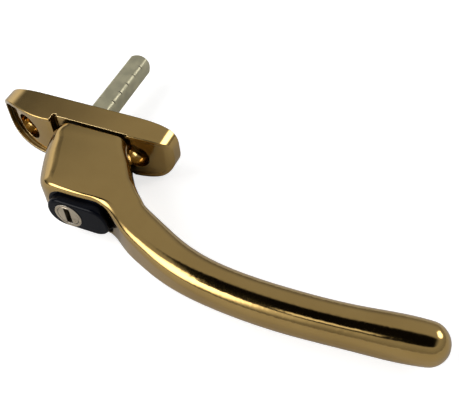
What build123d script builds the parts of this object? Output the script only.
from build123d import *
import math
import os

# In-line locking espagnolette window handle, in millimetres.
# The wall is the plane Y = 0 and its outside is -Y. "Out" is the distance in front of the wall.
# X runs along the plate towards the lever's tip, Z runs across the plate.
# The origin is on the spindle's axis, in the plane of the plate's back.

# --- driving dimensions: plate ---------------------------------------------------------------
PLATE_LENGTH = 67.6
PLATE_WIDTH = 18.6
PLATE_END_REACH = 21.0
PLATE_END_POWER = 3.7
PLATE_WALL = 1.6
PLATE_TOP = 11.5
LIP_WIDTH = 1.2
PLATFORM_HEIGHT = 8.65
GROOVE_FLOOR = 7.8
GROOVE_WIDTH = 1.5
LEFT_STEP_X = -9.3
RIGHT_STEP_X = 15.8
RIGHT_STEP_RADIUS = 11.9
ROOF_THICKNESS = 2.0
BEHIND = 4.0
CREST_ROUNDING = 0.35
WEB_UNDERSIDE = 5.65
SCREW_SPACING = 43.0
SCREW_HOLE_RADIUS = 2.75
COUNTERBORE_RADIUS = 4.9
COUNTERBORE_FLOOR = 3.0
BOSS_RADIUS = 6.4

# --- driving dimensions: neck and what is on it ------------------------------------------------
NECK_RADIUS = 5.5
NECK_END = 1.0
NECK_FLAT = 4.9
RUNNING = 0.05
FIT = 0.02
LOOSE = 0.1
BUSH_RADIUS = 6.5
FLANGE_RADIUS = 7.9
FLANGE_FACE = 9.15
THRUST_RADIUS = 7.3
THRUST_GAP = 0.1
BURIED = 1.0
WASHER_TOP = 5.6
WASHER_RADIUS = 6.8
CAM_TOP = 5.1
CAM_BOTTOM = 3.3
CAM_RADIUS = 7.3
NOTCH_DEPTH = 0.6
DISH_TOP = 3.25
DISH_BOTTOM = 2.55
DISH_THICKNESS = 0.3
CLIP_TOP = 2.45
CLIP_BOTTOM = 1.75
CLIP_RADIUS = 7.0
CLIP_OPENING = 5.6
GROOVE_RADIUS = 5.0

# --- driving dimensions: spindle ---------------------------------------------------------------
SPINDLE_SIDE = 7.0
SPINDLE_CORNER = 1.2
SPINDLE_TOP = 16.9
SPINDLE_REACH = 36.9
NOSE_LENGTH = 3.4
NOTCH_PITCH = 5.0
NOTCH_COUNT = 7
NOTCH_RADIUS = 3.95
NOTCH_WIDTH = 0.8
SPINDLE_PIN_RADIUS = 1.25
SPINDLE_PIN_OUT = 7.4
SPINDLE_PIN_LENGTH = 10.6
SPINDLE_PIN_WALL = 0.4

# --- driving dimensions: detents ---------------------------------------------------------------
BALL_RADIUS = 1.5
BALL_GAP = 0.05
DETENT_OUT = 4.2
POCKET_RADIUS = 1.6
POCKET_START = 7.7
POCKET_END = 14.6
DETENT_BLOCK_END = 16.0
DETENT_BLOCK_HALF = 2.6
DETENT_BLOCK_BOTTOM = 2.2
DETENT_WIRE = 0.2
DETENT_COIL = 1.2
DETENT_TURNS = 5

# --- driving dimensions: knuckle, lock and lever -----------------------------------------------
UNDERSIDE = 9.9
FAR = 80.0
LOCK_X = 13.75
LOCK_TRAVEL = 3.4
INSERT_X = 17.0
INSERT_LENGTH = 24.4
INSERT_WIDTH = 13.6
INSERT_CORNER = 6.4
BEZEL_TOP = 36.3
BEZEL_BOTTOM = 31.5
BUTTON_LENGTH = 22.4
BUTTON_WIDTH = 11.6
BUTTON_CORNER = 5.7
BUTTON_TOP = 39.4
BUTTON_EDGE = 1.0
BUTTON_BOTTOM = 30.2
BUTTON_FLANGE_TOP = 31.4
CAVITY_FLOOR = 26.5
BARREL_RADIUS = 4.8
BARREL_TOP = 39.6
BARREL_BOTTOM = 20.8
BARREL_WELL = 16.5
PLUG_RADIUS = 3.85
PLUG_BOTTOM = 27.15
TAIL_RADIUS = 1.6
TAIL_BOTTOM = 25.5
LEVER_TOP = 25.9
LEVER_BOTTOM = 25.1
LEVER_RADIUS = 3.2
LEDGE_TOP = 27.1
LEDGE_BOTTOM = 26.3
CAM_SPACE_BOTTOM = 25.05
PLUG_CLIP_BOTTOM = 25.95
PLUG_CLIP_TOP = 26.25
PLUG_CLIP_RADIUS = 2.6
PLUG_CLIP_DEPTH = 0.35
PLUG_EDGE = 0.2
KEYWAY_WIDTH = 2.2
KEYWAY_HEIGHT = 6.6
KEYWAY_DEPTH = 10.0
WAFER_COUNT = 5
WAFER_PITCH = 1.5
WAFER_FIRST = 36.6
WAFER_THICKNESS = 0.7
WAFER_WIDTH = 3.4
WAFER_HEIGHT = 6.6
WAFER_WINDOW_WIDTH = 2.3
WAFER_WINDOW_HEIGHT = 5.0
BOLT_TOP = 24.95
BOLT_BOTTOM = 23.5
BOLT_HALF = 2.6
BOLT_START = 12.0
BOLT_TIP = 19.55
BOLT_SLOT_END = 19.9
BOLT_SLOT_BOTTOM = 19.7
BOLT_SLOT_HALF = 2.8
BOLT_SIDE = 0.75
PEG_ROOM = 0.3
PEG_BACK_ROOM = 0.35
GUIDE_START = 9.35
LATCH_WIRE = 0.15
LATCH_COIL = 0.5
LATCH_TURNS = 5
PEG_OFFSET = 1.0
PEG_RADIUS = 0.6
PIN_X = 12.5
PIN_RADIUS = 1.5
PIN_TIP = 10.0
PIN_HEAD = 22.4
PIN_EDGE = 0.4
PIN_HOLE_FLOOR = 6.2
PIN_HOLE_ROOM = 0.2
SPRING_SEAT = 22.6
SPRING_OUTER = 4.35
SPRING_INNER = 1.9
SPRING_COIL = 3.75
SPRING_WIRE = 0.3
SPRING_TURNS = 4

# Rim of the two screw pads (X, out). The left pad is high and falls away to its end. The right
# pad stays low, because the knuckle's foot swings over it, and rounds off at its end.
LEFT_RIM = (
    (-35.0, 3.1),
    (-33.8, 4.1),
    (-31.0, 5.9),
    (-27.4, 7.7),
    (-22.0, 9.7),
    (-17.0, 10.9),
    (-12.0, 11.2),
)
RIGHT_RIM = ((18.0, 9.45), (23.0, 9.0), (28.0, 8.2), (31.0, 7.2), (33.0, 5.4), (33.8, 4.1), (34.2, 3.0))
# Floor of the two screw pads, inside the rim.
LEFT_FLOOR = ((-35.0, 1.6), (-32.0, 3.5), (-27.0, 6.2), (-22.0, 8.4), (-17.0, 9.9), (-11.0, 10.7))
RIGHT_FLOOR = ((17.0, 9.0), (22.0, 8.7), (28.0, 8.0), (31.0, 7.1), (33.0, 5.9), (35.0, 4.4))

# Knuckle sections, from its foot to where the lever leaves it. Each one is a cut between an
# outer and an inner edge (X, out), with half its height and its outer corner radius.
KNUCKLE_SECTIONS = (
    ((-7.8, 9.9), (20.0, 9.9), 8.8, 7.0),
    ((-7.3, 15.6), (22.2, 13.6), 8.8, 6.6),
    ((-6.0, 21.2), (25.0, 17.2), 8.8, 7.6),
    ((-3.7, 26.7), (27.5, 20.7), 8.8, 7.6),
    ((-0.9, 31.8), (29.8, 23.6), 8.8, 6.6),
    ((3.0, 35.4), (31.7, 25.5), 8.8, 4.3),
    ((9.8, 36.5), (33.3, 27.1), 8.7, 3.0),
    ((18.0, 36.5), (35.0, 28.6), 8.5, 2.8),
    ((26.0, 36.8), (36.9, 30.2), 8.1, 2.8),
)
KNUCKLE_BACK_RADIUS = 3.2

# The lever's centre line (X, out), gently curved back towards the wall.
LEVER_LINE = (
    (36.0, 36.1),
    (42.0, 39.1),
    (49.0, 42.3),
    (58.6, 45.5),
    (68.0, 47.2),
    (80.0, 48.0),
    (104.0, 47.1),
    (129.6, 44.1),
)
# How the lever's section changes along its line: share of the length, half depth, half height,
# outer corner radius and inner corner radius.
LEVER_SECTIONS = (
    (0.0, 5.6, 7.6, 2.9, 3.6),
    (0.09, 6.0, 7.2, 3.4, 4.4),
    (0.18, 6.0, 7.0, 4.2, 5.0),
    (0.28, 6.0, 6.85, 5.2, 5.6),
    (0.40, 6.0, 6.7, 5.8, 5.8),
    (0.60, 6.0, 6.6, 5.8, 5.8),
    (0.80, 6.0, 6.55, 5.8, 5.8),
    (1.0, 6.0, 6.5, 5.8, 5.8),
)
TIP_LENGTH = 6.2
TIP_ANGLES = (20, 38, 54, 68, 80)


# --- helpers -------------------------------------------------------------------------------------
def wall_plane(out):
    """Plane in front of the wall and parallel to it: its local axes are X and Z."""
    return Plane(origin=(0, -out, 0), x_dir=(1, 0, 0), z_dir=(0, -1, 0))


def block(profile, low, high):
    """Profile drawn in X and Z, made solid between two distances from the wall."""
    return extrude(wall_plane(low) * profile, high - low)


def rod(radius, low, high, x=0.0, z=0.0):
    """Round bar square to the wall."""
    return block(Pos(x, z) * Circle(radius), low, high)


def ring(outer, inner, low, high, x=0.0):
    """Round ring square to the wall."""
    return block(Pos(x, 0) * (Circle(outer) - Circle(inner)), low, high)


def coil_spring(centre, direction, radius, wire, length, turns):
    """Round-wire compression spring that starts at centre and runs along direction."""
    path = Helix(pitch=length / turns, height=length, radius=radius, center=centre, direction=direction)
    section = Plane(origin=path @ 0, z_dir=path % 0) * Circle(wire)
    return sweep(section, path=path, is_frenet=True)


# --- plate ---------------------------------------------------------------------------------------
def plate_outline(inset):
    """Plate outline, inset from its rim: straight sides with superelliptic ends."""
    half_width = PLATE_WIDTH / 2 - inset
    reach = PLATE_END_REACH - inset
    start = PLATE_LENGTH / 2 - PLATE_END_REACH
    power = 2 / PLATE_END_POWER
    quarter = []
    for angle in (0, 4, 14, 30, 50, 70, 84):
        across = half_width * math.cos(math.radians(angle)) ** power
        along = start + reach * math.sin(math.radians(angle)) ** power
        quarter.append((along, across))
    far = (start + reach, 0)
    right = quarter + [far] + [(x, -z) for x, z in reversed(quarter)]
    left = [(-x, -z) for x, z in right]
    edges = Spline(*right, tangents=((1, 0), (-1, 0)))
    edges += Line(right[-1], left[0])
    edges += Spline(*left, tangents=((-1, 0), (1, 0)))
    edges += Line(left[-1], right[0])
    return make_face(edges)


def slab_under(left, right, lowered):
    """Everything behind a surface that follows the left and the right line, lowered by a depth."""
    left = [(x, lowered - out) for x, out in left]
    right = [(x, lowered - out) for x, out in right]
    edges = Spline(*left) + Line(left[-1], right[0]) + Spline(*right)
    edges += Polyline(right[-1], (right[-1][0], BEHIND), (left[0][0], BEHIND), left[0])
    return extrude(make_face(edges), PLATE_WIDTH, both=True)


def step_zone():
    """Zone of the low platform between the two screw pads."""
    right_centre = RIGHT_STEP_X + RIGHT_STEP_RADIUS
    length = right_centre - LEFT_STEP_X
    zone = Pos(LEFT_STEP_X + length / 2, 0) * Rectangle(length, 2 * PLATE_WIDTH)
    return zone - Pos(right_centre, 0) * Circle(RIGHT_STEP_RADIUS)


def make_base_plate():
    rim = slab_under(LEFT_RIM, RIGHT_RIM, 0)
    floor = slab_under(LEFT_FLOOR, RIGHT_FLOOR, 0)
    body = block(plate_outline(0), 0, PLATE_TOP) & rim
    crest = body.faces().filter_by(lambda face: face.normal_at().Y < -0.3).edges()
    body = fillet(crest.filter_by(lambda edge: abs(edge.center().X) > CREST_ROUNDING), CREST_ROUNDING)
    body -= block(plate_outline(LIP_WIDTH), 0, PLATE_TOP) - floor
    body -= block(step_zone(), PLATFORM_HEIGHT, PLATE_TOP)
    groove = Pos(LEFT_STEP_X + GROOVE_WIDTH / 2, 0) * Rectangle(GROOVE_WIDTH, 2 * PLATE_WIDTH)
    body -= block(groove, GROOVE_FLOOR, PLATE_TOP)
    hollow = block(plate_outline(PLATE_WALL), 0, WEB_UNDERSIDE)
    hollow &= slab_under(LEFT_FLOOR, RIGHT_FLOOR, ROOF_THICKNESS)
    for side in (-1, 1):
        hollow -= rod(BOSS_RADIUS, 0, PLATE_TOP, x=side * SCREW_SPACING / 2)
        middle = side * (POCKET_START + DETENT_BLOCK_END) / 2
        length = DETENT_BLOCK_END - POCKET_START
        profile = Pos(middle, 0) * Rectangle(length, 2 * DETENT_BLOCK_HALF)
        hollow -= block(profile, DETENT_BLOCK_BOTTOM, PLATE_TOP)
    body -= hollow
    for side in (-1, 1):
        x = side * SCREW_SPACING / 2
        body -= rod(COUNTERBORE_RADIUS, COUNTERBORE_FLOOR, PLATE_TOP, x=x)
        body -= rod(SCREW_HOLE_RADIUS, 0, PLATE_TOP, x=x)
        pocket = Plane(origin=(side * POCKET_START, -DETENT_OUT, 0), z_dir=(side, 0, 0))
        body -= extrude(pocket * Circle(POCKET_RADIUS), POCKET_END - POCKET_START)
    body -= rod(BUSH_RADIUS + FIT, 0, PLATE_TOP)
    body -= rod(PIN_RADIUS + PIN_HOLE_ROOM, PIN_HOLE_FLOOR, PLATE_TOP, x=PIN_X)
    return body


def make_bearing_bush():
    flange = rod(FLANGE_RADIUS, PLATFORM_HEIGHT, FLANGE_FACE)
    sleeve = rod(BUSH_RADIUS, WEB_UNDERSIDE, PLATFORM_HEIGHT)
    return flange + sleeve - rod(NECK_RADIUS + RUNNING, 0, FAR)


def make_detent_ball(side):
    x = side * (CAM_RADIUS + BALL_GAP + BALL_RADIUS)
    return Pos(x, -DETENT_OUT, 0) * Sphere(BALL_RADIUS)


def make_detent_spring(side):
    start = CAM_RADIUS + 2 * BALL_GAP + 2 * BALL_RADIUS + DETENT_WIRE
    length = POCKET_END - BALL_GAP - DETENT_WIRE - start
    centre = (side * start, -DETENT_OUT, 0)
    return coil_spring(centre, (side, 0, 0), DETENT_COIL, DETENT_WIRE, length, DETENT_TURNS)


# --- parts on the neck ---------------------------------------------------------------------------
def neck_profile(grow):
    """Neck with its two driving flats, grown for a fit."""
    return Circle(NECK_RADIUS + grow) & Rectangle(4 * NECK_RADIUS, 2 * (NECK_FLAT + grow))


def make_thrust_washer():
    return ring(WASHER_RADIUS, NECK_RADIUS + RUNNING, CAM_TOP + FIT, WASHER_TOP)


def make_index_cam():
    profile = Circle(CAM_RADIUS) - neck_profile(FIT)
    notch_centre = CAM_RADIUS + BALL_RADIUS - NOTCH_DEPTH
    for quarter in range(4):
        profile -= Rot(0, 0, 90 * quarter) * Pos(notch_centre, 0) * Circle(BALL_RADIUS)
    return block(profile, CAM_BOTTOM, CAM_TOP)


def make_spring_washer():
    inner = NECK_RADIUS + RUNNING
    outer = CAM_RADIUS - LOOSE
    points = (
        (inner, -DISH_TOP),
        (outer, -DISH_BOTTOM - DISH_THICKNESS),
        (outer, -DISH_BOTTOM),
        (inner, -DISH_TOP + DISH_THICKNESS),
    )
    return revolve(make_face(Polyline(*points, close=True)), Axis.Y)


def make_retaining_clip():
    gap = Pos(0, -CLIP_RADIUS) * Rectangle(CLIP_OPENING, 2 * CLIP_RADIUS)
    profile = Circle(CLIP_RADIUS) - Circle(GROOVE_RADIUS + FIT) - gap
    return block(profile, CLIP_BOTTOM, CLIP_TOP)


# --- spindle -------------------------------------------------------------------------------------
def square_bar(grow):
    return RectangleRounded(SPINDLE_SIDE + grow, SPINDLE_SIDE + grow, SPINDLE_CORNER + grow / 2)


def make_spindle():
    bar = block(square_bar(0), -SPINDLE_REACH, SPINDLE_TOP)
    corner = SPINDLE_SIDE / 2 * math.sqrt(2)
    shoulder = SPINDLE_REACH - NOSE_LENGTH
    edges = Line((0, -SPINDLE_TOP), (corner, -SPINDLE_TOP))
    edges += Line((corner, -SPINDLE_TOP), (corner, shoulder))
    edges += TangentArc((0, SPINDLE_REACH), (corner, shoulder), tangent=(1, 0))
    edges += Line((0, SPINDLE_REACH), (0, -SPINDLE_TOP))
    bar &= revolve(make_face(edges), Axis.Y)
    for index in range(NOTCH_COUNT):
        y = NOTCH_PITCH * (index + 1)
        points = ((NOTCH_RADIUS, y), (corner, y - NOTCH_WIDTH / 2), (corner, y + NOTCH_WIDTH / 2))
        bar -= revolve(make_face(Polyline(*points, close=True)), Axis.Y)
    return bar - spindle_cross_hole(FIT)


def spindle_cross_hole(grow):
    plane = Plane(origin=(0, -SPINDLE_PIN_OUT, 0), z_dir=(0, 0, 1))
    return extrude(plane * Circle(SPINDLE_PIN_RADIUS + grow), 2 * NECK_RADIUS, both=True)


def make_spindle_pin():
    plane = Plane(origin=(0, -SPINDLE_PIN_OUT, 0), z_dir=(0, 0, 1))
    slot = Pos(SPINDLE_PIN_RADIUS, 0) * Rectangle(2 * SPINDLE_PIN_RADIUS, SPINDLE_PIN_WALL)
    profile = Circle(SPINDLE_PIN_RADIUS) - Circle(SPINDLE_PIN_RADIUS - SPINDLE_PIN_WALL) - slot
    return extrude(plane * profile, SPINDLE_PIN_LENGTH / 2, both=True)


# --- handle casting ------------------------------------------------------------------------------
def cross_section(outer, inner, half_height, outer_radius, inner_radius):
    """Rounded section across the casting between its outer and inner edges."""
    along = Vector(outer[0] - inner[0], inner[1] - outer[1], 0)
    half = along.length / 2
    middle = Vector((outer[0] + inner[0]) / 2, -(outer[1] + inner[1]) / 2, 0)
    plane = Plane(origin=middle, x_dir=along, z_dir=along.cross(Vector(0, 0, 1)))
    corners = ((-half, -half_height), (half, -half_height), (half, half_height), (-half, half_height))
    radii = (inner_radius, outer_radius, outer_radius, inner_radius)
    return plane * make_face(FilletPolyline(*corners, radius=radii, close=True))


def lever_section(centre, direction, half_depth, half_height, outer_radius, inner_radius):
    """Section of the lever, square to its line."""
    normal = Vector(direction.Y, -direction.X, 0)
    outer = centre + normal * half_depth
    inner = centre - normal * half_depth
    return cross_section((outer.X, -outer.Y), (inner.X, -inner.Y), half_height, outer_radius, inner_radius)


def make_handle_shell():
    """Outer shape of the knuckle and the lever, with a domed tip."""
    sections = []
    for outer, inner, half_height, radius in KNUCKLE_SECTIONS:
        sections.append(cross_section(outer, inner, half_height, radius, KNUCKLE_BACK_RADIUS))
    line = Spline(*[(x, -out) for x, out in LEVER_LINE])
    for share, depth, height, outer_radius, inner_radius in LEVER_SECTIONS:
        sections.append(lever_section(line @ share, line % share, depth, height, outer_radius, inner_radius))
    end, direction = line @ 1, line % 1
    share, depth, height, outer_radius, inner_radius = LEVER_SECTIONS[-1]
    for angle in TIP_ANGLES:
        size = math.cos(math.radians(angle))
        centre = end + direction * (TIP_LENGTH * math.sin(math.radians(angle)))
        radius = outer_radius * size
        sections.append(lever_section(centre, direction, depth * size, height * size, radius, radius))
    return loft(sections)


def insert_profile(grow):
    """Oblong of the bezel pocket in the knuckle's front."""
    length = INSERT_LENGTH + 2 * grow
    width = INSERT_WIDTH + 2 * grow
    return Pos(INSERT_X, 0) * RectangleRounded(length, width, INSERT_CORNER + grow)


def button_profile(grow):
    length = BUTTON_LENGTH + 2 * grow
    width = BUTTON_WIDTH + 2 * grow
    return Pos(INSERT_X, 0) * RectangleRounded(length, width, BUTTON_CORNER + grow)


def make_handle_casting():
    body = make_handle_shell()
    body += rod(THRUST_RADIUS, FLANGE_FACE + THRUST_GAP, UNDERSIDE + BURIED)
    body += rod(NECK_RADIUS, CAM_TOP, UNDERSIDE + BURIED)
    body += block(neck_profile(0), NECK_END, CAM_TOP)
    body -= ring(2 * NECK_RADIUS, GROOVE_RADIUS, CLIP_BOTTOM - FIT, CLIP_TOP + FIT)
    body -= block(square_bar(2 * FIT), 0, SPINDLE_TOP + FIT)
    body -= spindle_cross_hole(FIT)
    body -= block(insert_profile(FIT), CAVITY_FLOOR, BUTTON_TOP)
    body -= rod(BARREL_RADIUS + LOOSE, BARREL_WELL, FAR, x=LOCK_X)
    body -= rod(PIN_RADIUS + LOOSE, 0, FAR, x=PIN_X)
    slot_length = BOLT_SLOT_END - LOCK_X
    slot = Pos(LOCK_X + slot_length / 2, 0) * Rectangle(slot_length, 2 * BOLT_SLOT_HALF)
    body -= block(slot, BOLT_SLOT_BOTTOM, CAVITY_FLOOR)
    return body


# --- lock ----------------------------------------------------------------------------------------
def make_button_bezel():
    return block(insert_profile(0) - button_profile(LOOSE), BEZEL_BOTTOM, BEZEL_TOP)


def make_lock_button():
    cap = block(button_profile(0), BUTTON_BOTTOM, BUTTON_TOP)
    cap = fillet(cap.faces().sort_by(Axis.Y)[0].edges(), BUTTON_EDGE)
    flange = block(insert_profile(-2 * LOOSE), BUTTON_BOTTOM, BUTTON_FLANGE_TOP)
    return cap + flange - rod(BARREL_RADIUS + FIT, 0, FAR, x=LOCK_X)


def make_cylinder_body():
    body = rod(BARREL_RADIUS, BARREL_BOTTOM, BARREL_TOP, x=LOCK_X)
    body -= rod(PLUG_RADIUS + RUNNING, LEDGE_TOP, FAR, x=LOCK_X)
    body -= rod(TAIL_RADIUS + RUNNING, CAM_SPACE_BOTTOM, LEDGE_TOP, x=LOCK_X)
    body -= rod(PLUG_RADIUS + RUNNING, BOLT_TOP, LEDGE_BOTTOM, x=LOCK_X)
    guide_length = 2 * BARREL_RADIUS
    guide = Pos(GUIDE_START + guide_length / 2, 0) * Rectangle(guide_length, 2 * (BOLT_HALF + RUNNING))
    body -= block(guide, BOLT_BOTTOM - RUNNING, BOLT_TOP + RUNNING)
    spring_room = ring(SPRING_OUTER, SPRING_INNER, 0, SPRING_SEAT, x=LOCK_X)
    body -= spring_room - rod(PIN_RADIUS + PIN_EDGE, 0, FAR, x=PIN_X)
    return body - rod(PIN_RADIUS + FIT, 0, PIN_HEAD + FIT, x=PIN_X)


def make_locking_pin():
    pin = rod(PIN_RADIUS, PIN_TIP, PIN_HEAD, x=PIN_X)
    return chamfer(pin.faces().sort_by(Axis.Y)[-1].edges(), PIN_EDGE)


def make_button_spring():
    start = BARREL_WELL + SPRING_WIRE + RUNNING
    length = SPRING_SEAT - SPRING_WIRE - RUNNING - start
    return coil_spring((LOCK_X, -start, 0), (0, -1, 0), SPRING_COIL, SPRING_WIRE, length, SPRING_TURNS)


def make_latch_bolt():
    length = BOLT_TIP - BOLT_START
    bolt = Pos(BOLT_START + length / 2, 0) * Rectangle(length, 2 * BOLT_HALF)
    window_start = LOCK_X + PEG_OFFSET - PEG_RADIUS - PEG_ROOM
    window_length = 2 * PEG_RADIUS + PEG_ROOM + PEG_BACK_ROOM
    window = Pos(window_start + window_length / 2, 0) * Rectangle(window_length, 2 * (BOLT_HALF - BOLT_SIDE))
    return block(bolt - window, BOLT_BOTTOM, BOLT_TOP)


def make_latch_spring():
    start = GUIDE_START + LATCH_WIRE + RUNNING
    length = BOLT_START - LATCH_WIRE - RUNNING - start
    centre = (start, -(BOLT_TOP + BOLT_BOTTOM) / 2, 0)
    return coil_spring(centre, (1, 0, 0), LATCH_COIL, LATCH_WIRE, length, LATCH_TURNS)


def wafer_outs():
    return [WAFER_FIRST - WAFER_PITCH * index for index in range(WAFER_COUNT)]


def make_key_plug():
    plug = rod(PLUG_RADIUS, PLUG_BOTTOM, BARREL_TOP, x=LOCK_X)
    plug = chamfer(plug.faces().sort_by(Axis.Y)[0].edges(), PLUG_EDGE)
    plug += rod(TAIL_RADIUS, TAIL_BOTTOM, PLUG_BOTTOM, x=LOCK_X)
    keyway = Pos(LOCK_X, 0) * Rectangle(KEYWAY_WIDTH, KEYWAY_HEIGHT)
    plug -= block(keyway, BARREL_TOP - KEYWAY_DEPTH, BARREL_TOP)
    groove_low = PLUG_CLIP_BOTTOM - FIT
    groove_inner = TAIL_RADIUS - PLUG_CLIP_DEPTH
    plug -= ring(2 * TAIL_RADIUS, groove_inner, groove_low, PLUG_CLIP_TOP + FIT, x=LOCK_X)
    flat = Pos(LOCK_X, TAIL_RADIUS) * Rectangle(4 * TAIL_RADIUS, TAIL_RADIUS)
    plug -= block(flat, 0, groove_low)
    slot = Pos(LOCK_X, 0) * Rectangle(WAFER_WIDTH + LOOSE, 4 * PLUG_RADIUS)
    half = WAFER_THICKNESS / 2 + RUNNING
    for out in wafer_outs():
        plug -= block(slot, out - half, out + half)
    return plug


def make_wafers():
    group = []
    plate = Pos(LOCK_X, 0) * Rectangle(WAFER_WIDTH, WAFER_HEIGHT)
    plate -= Pos(LOCK_X, 0) * Rectangle(WAFER_WINDOW_WIDTH, WAFER_WINDOW_HEIGHT)
    for out in wafer_outs():
        group.append(block(plate, out - WAFER_THICKNESS / 2, out + WAFER_THICKNESS / 2))
    return Compound(children=group)


def make_plug_clip():
    gap = Pos(LOCK_X + TAIL_RADIUS, 0) * Rectangle(2 * TAIL_RADIUS, TAIL_RADIUS)
    hole = Circle(TAIL_RADIUS - PLUG_CLIP_DEPTH + FIT)
    profile = Pos(LOCK_X, 0) * (Circle(PLUG_CLIP_RADIUS) - hole) - gap
    return block(profile, PLUG_CLIP_BOTTOM, PLUG_CLIP_TOP)


def make_locking_cam():
    flat = Pos(0, TAIL_RADIUS) * Rectangle(4 * TAIL_RADIUS, TAIL_RADIUS - 2 * FIT)
    hole = Circle(TAIL_RADIUS + FIT) - flat
    collar = block(Pos(LOCK_X, 0) * (Circle(LEVER_RADIUS) - hole), TAIL_BOTTOM, LEVER_TOP)
    plate = rod(LEVER_RADIUS, LEVER_BOTTOM, TAIL_BOTTOM, x=LOCK_X)
    return collar + plate + rod(PEG_RADIUS, BOLT_BOTTOM, LEVER_BOTTOM, x=LOCK_X + PEG_OFFSET)


PARTS = {
    "base_plate": make_base_plate,
    "bearing_bush": make_bearing_bush,
    "detent_ball_left": lambda: make_detent_ball(-1),
    "detent_ball_right": lambda: make_detent_ball(1),
    "detent_spring_left": lambda: make_detent_spring(-1),
    "detent_spring_right": lambda: make_detent_spring(1),
    "thrust_washer": make_thrust_washer,
    "index_cam": make_index_cam,
    "spring_washer": make_spring_washer,
    "retaining_clip": make_retaining_clip,
    "spindle": make_spindle,
    "spindle_pin": make_spindle_pin,
    "handle_casting": make_handle_casting,
    "button_bezel": make_button_bezel,
    "lock_button": make_lock_button,
    "cylinder_body": make_cylinder_body,
    "locking_pin": make_locking_pin,
    "button_spring": make_button_spring,
    "latch_bolt": make_latch_bolt,
    "latch_spring": make_latch_spring,
    "key_plug": make_key_plug,
    "wafers": make_wafers,
    "plug_clip": make_plug_clip,
    "locking_cam": make_locking_cam,
}

os.makedirs("parts", exist_ok=True)
for name, make in PARTS.items():
    export_step(make(), f"parts/{name}.step")
    print(name)
